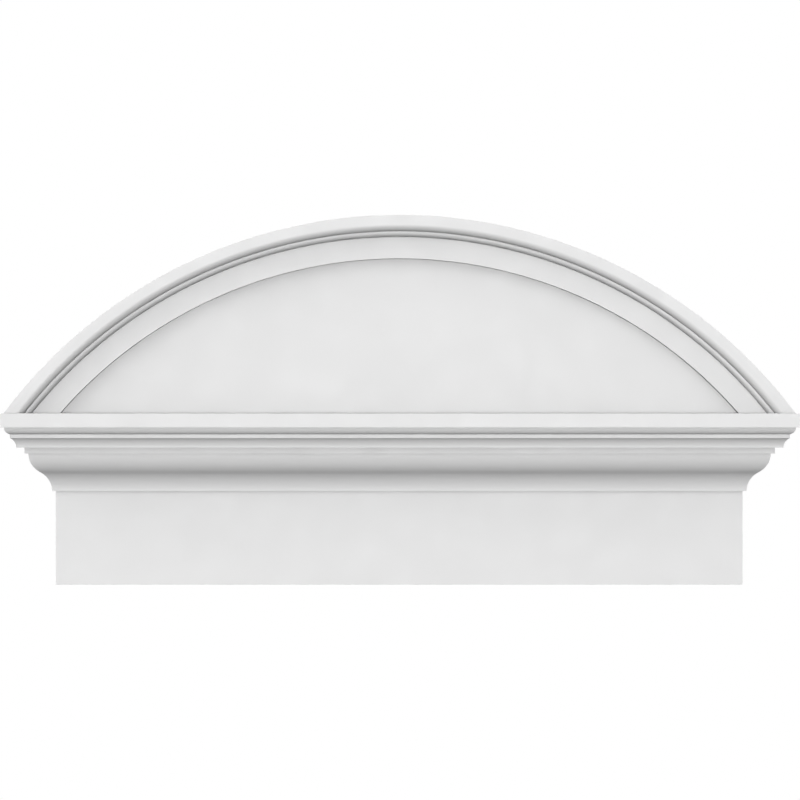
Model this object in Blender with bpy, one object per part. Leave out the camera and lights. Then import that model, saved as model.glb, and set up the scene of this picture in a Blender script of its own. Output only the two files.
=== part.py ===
"""Segmental pediment for the head of a door or window, made of white trim board and mouldings.

Metres, +Z up. The front faces -Y, and the flat back lies in the wall plane, y = 0.
The origin is the centre of the frieze board's back, where the part is fixed to the wall.

The lower half is a frieze board with a crown moulding, mitred round both of its ends, under a
flat square-edged cap. The upper half stands on the cap: a segment-shaped panel, with a flat
band along its curve and an arched moulding along the outer part of the band.
"""

import math

import bmesh
import bpy

MM = 0.001

# Boards
BOARD_THICKNESS = 15.9 * MM
FRIEZE_WIDTH = 762.0 * MM
FRIEZE_SHOWING = 104.1 * MM
CAP_THICKNESS = 15.2 * MM
CAP_LIP = 3.6 * MM

# Crown moulding, from the top down: how far each member steps back, and how tall it is
OVOLO_DEPTH = 5.75 * MM
OVOLO_HEIGHT = 7.35 * MM
UPPER_FILLET_HEIGHT = 4.05 * MM
COVE_DEPTH = 6.25 * MM
COVE_HEIGHT = 10.65 * MM
SOFFIT_DEPTH = 8.1 * MM
LOWER_FILLET_HEIGHT = 6.55 * MM
QUIRK_DEPTH = 3.9 * MM
CYMA_DEPTH = 23.7 * MM
CYMA_HEIGHT = 42.2 * MM
FOOT_DEPTH = 3.7 * MM

# Arch, across its width from the outer edge to the inner edge
ARCH_RISE = 218.2 * MM
ARCH_FACE_WIDTH = 10.5 * MM
ARCH_OVOLO_WIDTH = 7.15 * MM
ARCH_OVOLO_DROP = 7.5 * MM
ARCH_BEAD_FLAT = 1.4 * MM
ARCH_BEAD_WIDTH = 4.5 * MM
ARCH_BEAD_DROP = 6.8 * MM
BAND_SHOWING = 23.8 * MM
BAND_THICKNESS = 9.2 * MM

# Glue line between two pieces that meet
JOINT = 0.3 * MM

# How many flats stand for each curve
ARCH_STEPS = 96
ROUND_STEPS = 6
CYMA_STEPS = 8

# Edges between faces that meet at more than this angle are shaded sharp
SHARP_ANGLE = math.radians(30)

# Crown and cap
CROWN_HEIGHT = OVOLO_HEIGHT + UPPER_FILLET_HEIGHT + COVE_HEIGHT + LOWER_FILLET_HEIGHT + CYMA_HEIGHT
CROWN_PROJECTION = OVOLO_DEPTH + COVE_DEPTH + SOFFIT_DEPTH + QUIRK_DEPTH + CYMA_DEPTH + FOOT_DEPTH
CAP_OVERHANG = CROWN_PROJECTION + CAP_LIP
HALF_FRIEZE = FRIEZE_WIDTH / 2
HALF_CAP = HALF_FRIEZE + CAP_OVERHANG

# Levels, with the origin half way up the frieze board
FRIEZE_TOP = (FRIEZE_SHOWING + CROWN_HEIGHT) / 2
CAP_BOTTOM = FRIEZE_TOP + JOINT
CAP_TOP = CAP_BOTTOM + CAP_THICKNESS
ARCH_BOTTOM = CAP_TOP + JOINT

# The arch's outer circle springs from the two ends of the cap
ARCH_RADIUS = (HALF_CAP**2 + ARCH_RISE**2) / (2 * ARCH_RISE)
ARCH_CENTRE = ARCH_BOTTOM + ARCH_RISE - ARCH_RADIUS
MOULDING_WIDTH = ARCH_FACE_WIDTH + ARCH_OVOLO_WIDTH + ARCH_BEAD_FLAT + ARCH_BEAD_WIDTH
BAND_WIDTH = MOULDING_WIDTH + BAND_SHOWING

# Distances from the wall to the backs of the arch's layers
BAND_BACK = BOARD_THICKNESS + JOINT
MOULDING_BACK = BAND_BACK + BAND_THICKNESS + JOINT


def clear_scene():
    """Starts from an empty scene."""
    for item in list(bpy.data.objects):
        bpy.data.objects.remove(item)


def white_plastic(name, roughness):
    """A white plastic of its own for one piece."""
    material = bpy.data.materials.new(name)
    material.use_nodes = True
    shader = material.node_tree.nodes["Principled BSDF"]
    shader.inputs["Base Color"].default_value = (0.82, 0.82, 0.82, 1.0)
    shader.inputs["Roughness"].default_value = roughness
    shader.inputs["Metallic"].default_value = 0.0
    return material


def loft(name, rings, roughness):
    """Makes a closed solid through rings of matching points, with a flat end on the first and last."""
    shape = bmesh.new()
    loops = [[shape.verts.new(point) for point in ring] for ring in rings]
    for near, far in zip(loops, loops[1:]):
        for i in range(len(near)):
            j = (i + 1) % len(near)
            shape.faces.new((near[i], near[j], far[j], far[i]))
    shape.faces.new(loops[0])
    shape.faces.new(loops[-1])
    bmesh.ops.recalc_face_normals(shape, faces=shape.faces)
    mesh = bpy.data.meshes.new(name)
    shape.to_mesh(mesh)
    shape.free()
    mesh.shade_smooth()
    mesh.set_sharp_from_angle(angle=SHARP_ANGLE)
    mesh.materials.append(white_plastic(name, roughness))
    bpy.context.collection.objects.link(bpy.data.objects.new(name, mesh))


def make_board(name, half_width, depth, bottom, top):
    """A square-edged board on the centreline, from the wall forward."""
    rings = [
        [(x, 0.0, bottom), (x, -depth, bottom), (x, -depth, top), (x, 0.0, top)]
        for x in (-half_width, half_width)
    ]
    loft(name, rings, roughness=0.5)


def upright_arc(upright_end, other_end, steps):
    """Points of a circular arc, from the end where it runs straight up and down to its other end."""
    across = other_end[0] - upright_end[0]
    along = other_end[1] - upright_end[1]
    radius = (across**2 + along**2) / (2 * abs(across))
    sweep = 2 * math.atan2(abs(across), abs(along))
    points = []
    for step in range(steps + 1):
        turn = sweep * step / steps
        points.append(
            (
                upright_end[0] + math.copysign(radius * (1 - math.cos(turn)), across),
                upright_end[1] + math.copysign(radius, along) * math.sin(turn),
            )
        )
    return points


def crown_section():
    """The crown's section, as (projection from the frieze's face, level), from its top back corner."""
    out = CROWN_PROJECTION
    level = FRIEZE_TOP
    section = [(JOINT, level)]
    section += upright_arc((out, level), (out - OVOLO_DEPTH, level - OVOLO_HEIGHT), ROUND_STEPS)
    out -= OVOLO_DEPTH
    level -= OVOLO_HEIGHT + UPPER_FILLET_HEIGHT
    cove_foot = (out - COVE_DEPTH, level - COVE_HEIGHT)
    section += reversed(upright_arc(cove_foot, (out, level), ROUND_STEPS))
    out -= COVE_DEPTH + SOFFIT_DEPTH
    level -= COVE_HEIGHT
    section += [(out, level), (out, level - LOWER_FILLET_HEIGHT)]
    out -= QUIRK_DEPTH
    level -= LOWER_FILLET_HEIGHT
    cyma_middle = (out - CYMA_DEPTH / 2, level - CYMA_HEIGHT / 2)
    cyma_foot = (FOOT_DEPTH, level - CYMA_HEIGHT)
    # The cyma turns from convex to hollow at its middle, so one flat passes straight through that point
    section += upright_arc((out, level), cyma_middle, CYMA_STEPS)[:-1]
    section += reversed(upright_arc(cyma_foot, cyma_middle, CYMA_STEPS)[:-1])
    section.append((JOINT, level - CYMA_HEIGHT))
    return section


def make_crown():
    """The crown's front length and its two returns, which run back to the wall past the frieze's ends."""
    section = crown_section()
    set_back = JOINT / math.sqrt(2)
    front = [
        [
            (side * (HALF_FRIEZE + out - set_back), -(BOARD_THICKNESS + out), level)
            for out, level in section
        ]
        for side in (-1, 1)
    ]
    loft("crown_front", front, roughness=0.45)
    for name, side in (("crown_return_left", -1), ("crown_return_right", 1)):
        mitre = [
            (side * (HALF_FRIEZE + out), set_back - (BOARD_THICKNESS + out), level)
            for out, level in section
        ]
        at_wall = [(x, 0.0, level) for x, _, level in mitre]
        loft(name, [mitre, at_wall], roughness=0.45)


def arch_angle(radius, step):
    """The angle from the centreline of one step along a circle of the arch, which ends on the cap."""
    spring = math.acos((ARCH_BOTTOM - ARCH_CENTRE) / radius)
    return spring * (2 * step / ARCH_STEPS - 1)


def arch_point(inset, depth, step):
    """One point of the arch, inset from its outer circle, at a depth in front of the wall."""
    radius = ARCH_RADIUS - inset
    angle = arch_angle(radius, step)
    return (radius * math.sin(angle), -depth, ARCH_CENTRE + radius * math.cos(angle))


def make_arched(name, section, roughness):
    """Sweeps a section of (inset, depth) points along the arch, from foot to foot."""
    rings = [
        [arch_point(inset, depth, step) for inset, depth in section]
        for step in range(ARCH_STEPS + 1)
    ]
    loft(name, rings, roughness)


def quarter_round(inset, depth, width, drop):
    """A rounded edge that leaves a flat face at (inset, depth), and ends facing the arch's inside."""
    points = []
    for step in range(ROUND_STEPS + 1):
        turn = math.pi / 2 * step / ROUND_STEPS
        points.append((inset + width * math.sin(turn), depth - drop * (1 - math.cos(turn))))
    return points


def make_tympanum():
    """The segment-shaped panel that fills the arch."""
    outlines = [
        [arch_point(0.0, depth, step) for step in range(ARCH_STEPS + 1)]
        for depth in (0.0, BOARD_THICKNESS)
    ]
    loft("tympanum_panel", outlines, roughness=0.5)


def make_arch_band():
    """The flat band on the panel, along the arch."""
    back = BAND_BACK
    face = BAND_BACK + BAND_THICKNESS
    section = [(0.0, back), (0.0, face), (BAND_WIDTH, face), (BAND_WIDTH, back)]
    make_arched("arch_band", section, roughness=0.5)


def make_arch_moulding():
    """The moulding on the band: a flat face, a rounded ovolo, and a smaller bead down to the band."""
    bead_top = MOULDING_BACK + ARCH_BEAD_DROP
    face = bead_top + ARCH_OVOLO_DROP
    bead_start = ARCH_FACE_WIDTH + ARCH_OVOLO_WIDTH + ARCH_BEAD_FLAT
    section = [(0.0, MOULDING_BACK), (0.0, face)]
    section += quarter_round(ARCH_FACE_WIDTH, face, ARCH_OVOLO_WIDTH, ARCH_OVOLO_DROP)
    section += quarter_round(bead_start, bead_top, ARCH_BEAD_WIDTH, ARCH_BEAD_DROP)
    make_arched("arch_moulding", section, roughness=0.45)


clear_scene()
make_board("frieze_board", HALF_FRIEZE, BOARD_THICKNESS, -FRIEZE_TOP, FRIEZE_TOP)
make_board("cornice_cap", HALF_CAP, BOARD_THICKNESS + CAP_OVERHANG, CAP_BOTTOM, CAP_TOP)
make_crown()
make_tympanum()
make_arch_band()
make_arch_moulding()
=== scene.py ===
"""Looks of the segmental pediment: true curves, eased edges, white trim plastic and soft studio light.

Metres, +Z up, front faces -Y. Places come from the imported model. The members' own sizes are named
here, as they are in the model's source.
"""

import math

import bmesh
import bpy
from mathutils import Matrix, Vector


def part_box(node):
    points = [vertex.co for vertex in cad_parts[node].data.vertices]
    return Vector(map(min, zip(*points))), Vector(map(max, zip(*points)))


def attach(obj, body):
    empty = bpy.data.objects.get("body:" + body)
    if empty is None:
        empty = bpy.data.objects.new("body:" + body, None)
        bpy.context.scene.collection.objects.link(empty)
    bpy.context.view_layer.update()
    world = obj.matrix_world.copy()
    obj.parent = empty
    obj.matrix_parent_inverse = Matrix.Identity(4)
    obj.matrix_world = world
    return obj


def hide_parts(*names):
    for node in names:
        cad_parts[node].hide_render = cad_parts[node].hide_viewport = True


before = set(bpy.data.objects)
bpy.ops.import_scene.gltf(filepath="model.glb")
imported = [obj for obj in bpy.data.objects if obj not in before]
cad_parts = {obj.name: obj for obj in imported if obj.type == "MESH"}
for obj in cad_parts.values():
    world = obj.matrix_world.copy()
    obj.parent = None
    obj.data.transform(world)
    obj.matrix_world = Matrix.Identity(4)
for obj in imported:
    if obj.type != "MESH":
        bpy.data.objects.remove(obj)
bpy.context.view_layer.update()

MM = 0.001

# Crown moulding, from the top down: how far each member steps back, and how tall it is. The cyma fills
# the space between the quirk and the foot
OVOLO_DEPTH = 5.75 * MM
OVOLO_HEIGHT = 7.35 * MM
UPPER_FILLET_HEIGHT = 4.05 * MM
COVE_DEPTH = 6.25 * MM
COVE_HEIGHT = 10.65 * MM
SOFFIT_DEPTH = 8.1 * MM
LOWER_FILLET_HEIGHT = 6.55 * MM
QUIRK_DEPTH = 3.9 * MM
FOOT_DEPTH = 3.7 * MM

# Arch moulding, across its width from the outer edge to the inner edge
ARCH_FACE_WIDTH = 10.5 * MM
ARCH_OVOLO_WIDTH = 7.15 * MM
ARCH_OVOLO_DROP = 7.5 * MM
ARCH_BEAD_FLAT = 1.4 * MM
ARCH_BEAD_WIDTH = 4.5 * MM
BAND_SHOWING = 23.8 * MM

# Glued joints show as hairlines. The cap's joints with the crown and the arch are tighter
HAIRLINE = 0.15 * MM
TIGHT_JOINT = 0.04 * MM

# Sharp edges are slightly eased. In a drawn section, a corner is sharp from this turn on, and its
# round takes no more than this share of the sides beside it
EDGE_RADIUS = 0.06 * MM
EASED_FROM = math.radians(18)
MOST_OF_SIDE = 0.4

# How finely the curves are cut
ARCH_STEPS = 320
ROUND_STEPS = 16
CYMA_STEPS = 24
EDGE_STEPS = 3

# Faces that meet at less than this angle are shaded as one curve, in which broad ones count the most
SMOOTH_UP_TO = math.radians(40)
BROAD_FACE_WEIGHT = 100

# How much of a face's direction lies along an axis, when the face looks along it or square to it
LOOKS_ALONG = 0.9
LOOKS_ACROSS = 0.1

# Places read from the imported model
FRIEZE_LOW, FRIEZE_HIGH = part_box("frieze_board")
CAP_LOW, CAP_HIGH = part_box("cornice_cap")
CROWN_LOW, CROWN_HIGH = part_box("crown_front")
PANEL_LOW, PANEL_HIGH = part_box("tympanum_panel")
BAND_FACE = -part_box("arch_band")[0].y
MOULDING_FACE = -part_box("arch_moulding")[0].y
PANEL_FACE = -PANEL_LOW.y
BOARD_THICKNESS = -FRIEZE_LOW.y
HALF_FRIEZE = FRIEZE_HIGH.x
CROWN_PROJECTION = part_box("crown_return_right")[1].x - HALF_FRIEZE
CROWN_TOP = CAP_LOW.z - TIGHT_JOINT
ARCH_FOOT = CAP_HIGH.z + TIGHT_JOINT
ARCH_RISE = PANEL_HIGH.z - ARCH_FOOT
ARCH_RADIUS = (CAP_HIGH.x**2 + ARCH_RISE**2) / (2 * ARCH_RISE)
ARCH_CENTRE = PANEL_HIGH.z - ARCH_RADIUS

# The square photograph, in pixels: its width, the cap's middle and lower edge, and where the lens
# axis meets it
PICTURE_WIDTH = 800.0
CAP_MIDDLE_X = 400.03
CAP_FOOT_Y = 427.44
AXIS_X = 352.0
AXIS_Y = 390.0

# One pixel on the cap's front, the distance from there to the lens, and the sensor in millimetres
PIXEL = 1.0905 * MM
CAMERA_DISTANCE = 2900 * PIXEL
SENSOR_WIDTH = 36.0

# The plastic's clouding and sheen: how many patches of noise there are to a metre, and how far they
# are broken up into smaller ones, as the grain is too. Nearly all of a noise lies between two values
CLOUDING_SCALE = 9.0
CLOUDING_DETAIL = 3.0
SHEEN_SCALE = 40.0
FINE_DETAIL = 2.0
NOISE_LOW = 0.3
NOISE_HIGH = 0.7

# Studio lights around the part: azimuth and elevation that each shines from, in degrees, with
# azimuth 0 in front and 90 on the right, then how narrow it is and how bright. The first is small,
# so it reaches into the corners between members. The others are broad and soft
SOFT_LIGHTS = (
    (0, 0, 2000.0, 480.0),
    (0, 0, 4.0, 0.34),
    (0, 15, 10.0, 0.6),
    (0, 90, 10.0, 1.15),
    (-60, 45, 10.0, 2.85),
    (60, 45, 10.0, 0.3),
    (-130, 20, 4.0, 1.65),
    (130, 20, 4.0, 1.65),
)
AMBIENT = 0.025

# The floor is out of the main view: it ends before the lowest line of sight reaches it
FLOOR_DROP = 0.5
FLOOR_BEHIND = 1.7
FLOOR_SIZE = 8.0
FLOOR_COLOUR = (0.98, 0.98, 0.98, 1.0)
FLOOR_ROUGHNESS = 0.9

WHITE = (1.0, 1.0, 1.0, 1.0)


def eased_corner(before, corner, after):
    """A corner of a section, with a small round in its place if it turns sharply."""
    into = (corner - before).normalized()
    out = (after - corner).normalized()
    turn = into.angle(out)
    if turn < EASED_FROM:
        return [corner]
    reach = EDGE_RADIUS * math.tan(turn / 2)
    reach = min(reach, MOST_OF_SIDE * (corner - before).length, MOST_OF_SIDE * (after - corner).length)
    start = corner - into * reach
    end = corner + out * reach
    points = []
    for step in range(EDGE_STEPS + 1):
        share = step / EDGE_STEPS
        points.append(start.lerp(corner, share).lerp(corner.lerp(end, share), share))
    return points


def eased(section):
    """A closed section with its sharp corners rounded."""
    corners = [Vector(point) for point in section]
    points = []
    for i, corner in enumerate(corners):
        points += eased_corner(corners[i - 1], corner, corners[(i + 1) % len(corners)])
    return [tuple(point) for point in points]


def loft(name, rings):
    """A closed mesh through rings of matching points, with a flat end on the first and last."""
    shape = bmesh.new()
    loops = [[shape.verts.new(point) for point in ring] for ring in rings]
    for near, far in zip(loops, loops[1:]):
        for i in range(len(near)):
            j = (i + 1) % len(near)
            shape.faces.new((near[i], near[j], far[j], far[i]))
    shape.faces.new(loops[0])
    shape.faces.new(loops[-1])
    bmesh.ops.recalc_face_normals(shape, faces=shape.faces)
    mesh = bpy.data.meshes.new(name)
    shape.to_mesh(mesh)
    shape.free()
    mesh.shade_smooth()
    mesh.set_sharp_from_angle(angle=SMOOTH_UP_TO)
    return mesh


def add_piece(name, node, rings, face_material, cut_material, is_cut):
    """Puts a finished piece in the place of its node, with its cut faces in their own material."""
    mesh = loft(name, rings)
    mesh.materials.append(face_material)
    mesh.materials.append(cut_material)
    for face in mesh.polygons:
        face.material_index = 1 if is_cut(face) else 0
    piece = bpy.data.objects.new(name, mesh)
    bpy.context.scene.collection.objects.link(piece)
    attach(piece, "root")
    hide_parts(node)
    return piece


def even_normals(piece):
    """Keeps broad faces flat beside their narrow rounded edges."""
    weighting = piece.modifiers.new("Even normals", "WEIGHTED_NORMAL")
    weighting.mode = "FACE_AREA"
    weighting.weight = BROAD_FACE_WEIGHT
    weighting.keep_sharp = True


def ease_edges(piece):
    """Rounds the sharp edges of a square-cut piece."""
    easing = piece.modifiers.new("Eased edges", "BEVEL")
    easing.width = EDGE_RADIUS
    easing.segments = EDGE_STEPS
    easing.limit_method = "ANGLE"


def is_end(face):
    """Whether a face is a sawn end of a straight board."""
    return abs(face.normal.x) > LOOKS_ALONG


def is_edge(face):
    """Whether a face is a sawn edge, square to the wall."""
    return abs(face.normal.y) < LOOKS_ACROSS


def is_back(face):
    """Whether a face looks back at the wall."""
    return face.normal.y > LOOKS_ALONG


def make_board(name, node, low, high, face_material, cut_material):
    """A square-edged straight board between two corners, with sawn ends."""
    rings = [
        [(x, high.y, low.z), (x, low.y, low.z), (x, low.y, high.z), (x, high.y, high.z)]
        for x in (low.x, high.x)
    ]
    piece = add_piece(name, node, rings, face_material, cut_material, is_end)
    ease_edges(piece)
    even_normals(piece)


def make_frieze(face_material, cut_material):
    """The flat board behind the crown, which stops a hairline under the cap."""
    high = Vector((FRIEZE_HIGH.x, FRIEZE_HIGH.y, CAP_LOW.z - HAIRLINE))
    make_board("frieze_face_board", "frieze_board", FRIEZE_LOW, high, face_material, cut_material)


def make_cap(face_material, cut_material):
    """The flat board that lies on the crown."""
    make_board("cornice_cap_board", "cornice_cap", CAP_LOW, CAP_HIGH, face_material, cut_material)


def upright_arc(upright_end, other_end, steps):
    """Points of a circular arc, from the end where it runs straight up and down to its other end."""
    across = other_end[0] - upright_end[0]
    along = other_end[1] - upright_end[1]
    radius = (across**2 + along**2) / (2 * abs(across))
    sweep = 2 * math.atan2(abs(across), abs(along))
    points = []
    for step in range(steps + 1):
        turn = sweep * step / steps
        points.append(
            (
                upright_end[0] + math.copysign(radius * (1 - math.cos(turn)), across),
                upright_end[1] + math.copysign(radius, along) * math.sin(turn),
            )
        )
    return points


def crown_section():
    """The crown's section, as (projection from the frieze's face, level), from its top back corner."""
    out = CROWN_PROJECTION
    level = CROWN_HIGH.z
    section = [(HAIRLINE, CROWN_TOP), (out, CROWN_TOP)]
    section += upright_arc((out, level), (out - OVOLO_DEPTH, level - OVOLO_HEIGHT), ROUND_STEPS)
    out -= OVOLO_DEPTH
    level -= OVOLO_HEIGHT + UPPER_FILLET_HEIGHT
    cove_foot = (out - COVE_DEPTH, level - COVE_HEIGHT)
    section += reversed(upright_arc(cove_foot, (out, level), ROUND_STEPS))
    out -= COVE_DEPTH + SOFFIT_DEPTH
    level -= COVE_HEIGHT
    section += [(out, level), (out, level - LOWER_FILLET_HEIGHT)]
    out -= QUIRK_DEPTH
    level -= LOWER_FILLET_HEIGHT
    cyma_middle = ((out + FOOT_DEPTH) / 2, (level + CROWN_LOW.z) / 2)
    cyma_foot = (FOOT_DEPTH, CROWN_LOW.z)
    section += upright_arc((out, level), cyma_middle, CYMA_STEPS)
    section += reversed(upright_arc(cyma_foot, cyma_middle, CYMA_STEPS)[:-1])
    section.append((HAIRLINE, CROWN_LOW.z))
    return eased(section)


def make_crown(face_material, cut_material):
    """The crown's front length and its two mitred returns."""
    section = crown_section()
    set_back = HAIRLINE / math.sqrt(2)
    lengths = {
        "crown_front": [
            [
                (side * (HALF_FRIEZE + out - set_back), -(BOARD_THICKNESS + out), level)
                for out, level in section
            ]
            for side in (-1, 1)
        ]
    }
    for node, side in (("crown_return_left", -1), ("crown_return_right", 1)):
        mitre = [
            (side * (HALF_FRIEZE + out), set_back - (BOARD_THICKNESS + out), level)
            for out, level in section
        ]
        at_wall = [(x, 0.0, level) for x, _, level in mitre]
        lengths[node] = [mitre, at_wall]
    for node, rings in lengths.items():
        piece = add_piece(
            f"{node}_moulding", node, rings, face_material, cut_material, is_back
        )
        even_normals(piece)


def arch_point(inset, depth, step):
    """One point of the arch, inset from its outer circle, at a depth in front of the wall."""
    radius = ARCH_RADIUS - inset
    spring = math.acos((ARCH_FOOT - ARCH_CENTRE) / radius)
    angle = spring * (2 * step / ARCH_STEPS - 1)
    return (radius * math.sin(angle), -depth, ARCH_CENTRE + radius * math.cos(angle))


def along_arch(section):
    """Rings of a section of (inset, depth) points, from one foot of the arch to the other."""
    return [
        [arch_point(inset, depth, step) for inset, depth in section]
        for step in range(ARCH_STEPS + 1)
    ]


def quarter_round(inset, depth, width, drop):
    """A rounded edge that leaves a flat face at (inset, depth), and ends facing the arch's inside."""
    points = []
    for step in range(ROUND_STEPS + 1):
        turn = math.pi / 2 * step / ROUND_STEPS
        points.append((inset + width * math.sin(turn), depth - drop * (1 - math.cos(turn))))
    return points


def make_tympanum(face_material, cut_material):
    """The panel that fills the arch."""
    outlines = [
        [arch_point(0.0, depth, step) for step in range(ARCH_STEPS + 1)]
        for depth in (0.0, PANEL_FACE)
    ]
    piece = add_piece(
        "tympanum_board", "tympanum_panel", outlines, face_material, cut_material, is_edge
    )
    ease_edges(piece)
    even_normals(piece)


def make_arch_band(face_material, cut_material):
    """The flat band planted on the panel, along the arch."""
    moulding_width = ARCH_FACE_WIDTH + ARCH_OVOLO_WIDTH + ARCH_BEAD_FLAT + ARCH_BEAD_WIDTH
    inner = moulding_width + BAND_SHOWING
    back = PANEL_FACE + HAIRLINE
    section = [(0.0, back), (0.0, BAND_FACE), (inner, BAND_FACE), (inner, back)]
    piece = add_piece(
        "arch_band_board",
        "arch_band",
        along_arch(eased(section)),
        face_material,
        cut_material,
        is_edge,
    )
    even_normals(piece)


def make_arch_moulding(face_material, cut_material):
    """The moulding planted on the band: a flat face, an ovolo, and a smaller bead down to the band."""
    back = BAND_FACE + HAIRLINE
    bead_top = MOULDING_FACE - ARCH_OVOLO_DROP
    bead_start = ARCH_FACE_WIDTH + ARCH_OVOLO_WIDTH + ARCH_BEAD_FLAT
    section = [(0.0, back), (0.0, MOULDING_FACE)]
    section += quarter_round(ARCH_FACE_WIDTH, MOULDING_FACE, ARCH_OVOLO_WIDTH, ARCH_OVOLO_DROP)
    section += quarter_round(bead_start, bead_top, ARCH_BEAD_WIDTH, bead_top - back)
    piece = add_piece(
        "arch_cap_moulding",
        "arch_moulding",
        along_arch(eased(section)),
        face_material,
        cut_material,
        is_back,
    )
    even_normals(piece)


def add_noise(material, scale, detail, stretch=1.0):
    """A noise in the object's own metres. A stretch above 1 draws it out from front to back."""
    nodes = material.node_tree.nodes
    links = material.node_tree.links
    place = nodes.new("ShaderNodeTexCoord")
    mapping = nodes.new("ShaderNodeMapping")
    mapping.inputs["Scale"].default_value = (1.0, 1.0 / stretch, 1.0)
    noise = nodes.new("ShaderNodeTexNoise")
    noise.inputs["Scale"].default_value = scale
    noise.inputs["Detail"].default_value = detail
    links.new(place.outputs["Object"], mapping.inputs["Vector"])
    links.new(mapping.outputs["Vector"], noise.inputs["Vector"])
    return noise.outputs["Fac"]


def add_range(material, value, low, high):
    """Spreads a noise between two limits."""
    spread = material.node_tree.nodes.new("ShaderNodeMapRange")
    spread.inputs["From Min"].default_value = NOISE_LOW
    spread.inputs["From Max"].default_value = NOISE_HIGH
    spread.inputs["To Min"].default_value = low
    spread.inputs["To Max"].default_value = high
    material.node_tree.links.new(value, spread.inputs["Value"])
    return spread.outputs["Result"]


def make_plastic(name, shades, roughness, grain_scale, grain_height, grain_stretch=1.0):
    """White cellular plastic: faint clouding, uneven sheen and a relief of fine grain or saw marks."""
    material = bpy.data.materials.new(name)
    material.use_nodes = True
    nodes = material.node_tree.nodes
    links = material.node_tree.links
    shader = nodes["Principled BSDF"]

    clouding = add_range(material, add_noise(material, CLOUDING_SCALE, CLOUDING_DETAIL), *shades)
    grey = nodes.new("ShaderNodeCombineColor")
    for channel in ("Red", "Green", "Blue"):
        links.new(clouding, grey.inputs[channel])
    links.new(grey.outputs["Color"], shader.inputs["Base Color"])

    sheen = add_range(material, add_noise(material, SHEEN_SCALE, FINE_DETAIL), *roughness)
    links.new(sheen, shader.inputs["Roughness"])

    bump = nodes.new("ShaderNodeBump")
    bump.inputs["Distance"].default_value = grain_height
    bump.inputs["Strength"].default_value = 1.0
    grain = add_noise(material, grain_scale, FINE_DETAIL, grain_stretch)
    links.new(grain, bump.inputs["Height"])
    links.new(bump.outputs["Normal"], shader.inputs["Normal"])
    return material


def make_board_plastic():
    """The smooth faces of the boards."""
    return make_plastic(
        "board_plastic",
        shades=(0.797, 0.807),
        roughness=(0.48, 0.56),
        grain_scale=1500.0,
        grain_height=0.015 * MM,
    )


def make_moulding_plastic():
    """The faces of the mouldings, a little smoother than the boards."""
    return make_plastic(
        "moulding_plastic",
        shades=(0.797, 0.807),
        roughness=(0.47, 0.55),
        grain_scale=1200.0,
        grain_height=0.01 * MM,
    )


def make_sawn_plastic():
    """Cut ends, edges and backs: duller, with saw marks that run from front to back."""
    return make_plastic(
        "sawn_plastic",
        shades=(0.76, 0.80),
        roughness=(0.62, 0.75),
        grain_scale=900.0,
        grain_height=0.12 * MM,
        grain_stretch=20.0,
    )


def make_floor():
    """A plain pale floor under the part, which throws no light back up on it."""
    half = FLOOR_SIZE / 2
    near = FLOOR_BEHIND - FLOOR_SIZE
    level = FRIEZE_LOW.z - FLOOR_DROP
    mesh = bpy.data.meshes.new("floor")
    corners = [
        (-half, near, level),
        (half, near, level),
        (half, FLOOR_BEHIND, level),
        (-half, FLOOR_BEHIND, level),
    ]
    mesh.from_pydata(corners, [], [(0, 1, 2, 3)])
    material = bpy.data.materials.new("floor_paint")
    material.use_nodes = True
    shader = material.node_tree.nodes["Principled BSDF"]
    shader.inputs["Base Color"].default_value = FLOOR_COLOUR
    shader.inputs["Roughness"].default_value = FLOOR_ROUGHNESS
    mesh.materials.append(material)
    floor = bpy.data.objects.new("floor", mesh)
    bpy.context.scene.collection.objects.link(floor)
    floor.visible_diffuse = False
    floor.visible_glossy = False


def make_camera():
    """A long lens, square to the front and shifted, so that the cap lies where the photograph has it."""
    lens = bpy.data.cameras.new("camera")
    camera = bpy.data.objects.new("camera", lens)
    bpy.context.scene.collection.objects.link(camera)
    camera.location = (
        (AXIS_X - CAP_MIDDLE_X) * PIXEL,
        CAP_LOW.y - CAMERA_DISTANCE,
        CAP_LOW.z + (CAP_FOOT_Y - AXIS_Y) * PIXEL,
    )
    camera.rotation_euler = (math.pi / 2, 0.0, 0.0)
    lens.sensor_width = SENSOR_WIDTH
    lens.lens = SENSOR_WIDTH * CAMERA_DISTANCE / (PICTURE_WIDTH * PIXEL)
    lens.shift_x = (PICTURE_WIDTH / 2 - AXIS_X) / PICTURE_WIDTH
    lens.shift_y = (AXIS_Y - PICTURE_WIDTH / 2) / PICTURE_WIDTH
    bpy.context.scene.camera = camera


def towards(azimuth, elevation):
    """The direction of a light. Azimuth 0 is in front of the part, and 90 on the viewer's right."""
    turn = math.radians(azimuth)
    rise = math.radians(elevation)
    return (math.sin(turn) * math.cos(rise), -math.cos(turn) * math.cos(rise), math.sin(rise))


def add_step(world, operation, *values):
    """One step of arithmetic in the world's nodes, on numbers or on other steps' results."""
    step = world.node_tree.nodes.new("ShaderNodeMath")
    step.operation = operation
    for socket, value in zip(step.inputs, values):
        if isinstance(value, bpy.types.NodeSocket):
            world.node_tree.links.new(value, socket)
        else:
            socket.default_value = value
    return step.outputs["Value"]


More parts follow.
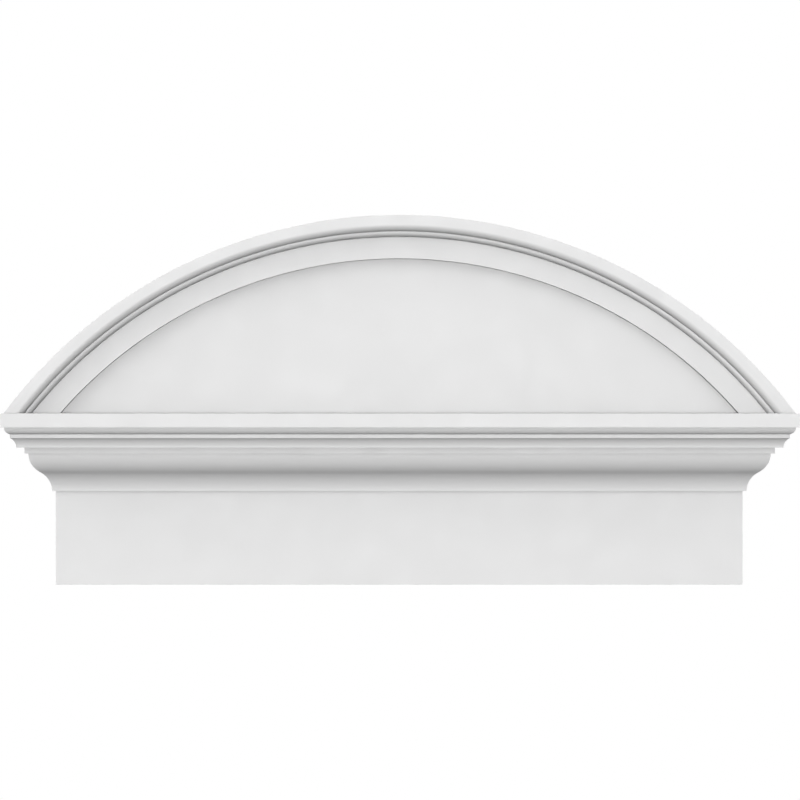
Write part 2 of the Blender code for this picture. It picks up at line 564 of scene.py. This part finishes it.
def add_soft_light(world, place, brightness, direction, narrowness, strength):
    """The world's brightness with one more light in it, which fades away from its middle."""
    facing = world.node_tree.nodes.new("ShaderNodeVectorMath")
    facing.operation = "DOT_PRODUCT"
    facing.inputs[1].default_value = direction
    world.node_tree.links.new(place, facing.inputs[0])
    ahead = add_step(world, "MAXIMUM", facing.outputs["Value"], 0.0)
    spread = add_step(world, "POWER", ahead, narrowness)
    return add_step(world, "MULTIPLY_ADD", spread, strength, brightness)


def make_world():
    """White surroundings, with lights in them that the camera doesn't see."""
    world = bpy.data.worlds.new("studio")
    world.use_nodes = True
    nodes = world.node_tree.nodes
    links = world.node_tree.links
    place = nodes.new("ShaderNodeTexCoord").outputs["Generated"]
    brightness = nodes.new("ShaderNodeValue").outputs["Value"]
    brightness.default_value = AMBIENT
    for azimuth, elevation, narrowness, strength in SOFT_LIGHTS:
        direction = towards(azimuth, elevation)
        brightness = add_soft_light(world, place, brightness, direction, narrowness, strength)
    light = nodes["Background"]
    light.inputs["Color"].default_value = WHITE
    links.new(brightness, light.inputs["Strength"])

    seen = nodes.new("ShaderNodeBackground")
    seen.inputs["Color"].default_value = WHITE
    ray = nodes.new("ShaderNodeLightPath")
    choice = nodes.new("ShaderNodeMixShader")
    links.new(ray.outputs["Is Camera Ray"], choice.inputs["Fac"])
    links.new(light.outputs["Background"], choice.inputs[1])
    links.new(seen.outputs["Background"], choice.inputs[2])
    links.new(choice.outputs["Shader"], nodes["World Output"].inputs["Surface"])
    bpy.context.scene.world = world
    bpy.context.scene.view_settings.view_transform = "Standard"

    # The photograph's hollows are dark, so light goes no further than the first surface it meets
    bpy.context.scene.cycles.diffuse_bounces = 0


board_plastic = make_board_plastic()
moulding_plastic = make_moulding_plastic()
sawn_plastic = make_sawn_plastic()
make_frieze(board_plastic, sawn_plastic)
make_cap(board_plastic, sawn_plastic)
make_crown(moulding_plastic, sawn_plastic)
make_tympanum(board_plastic, sawn_plastic)
make_arch_band(board_plastic, sawn_plastic)
make_arch_moulding(moulding_plastic, sawn_plastic)
make_floor()
make_camera()
make_world()
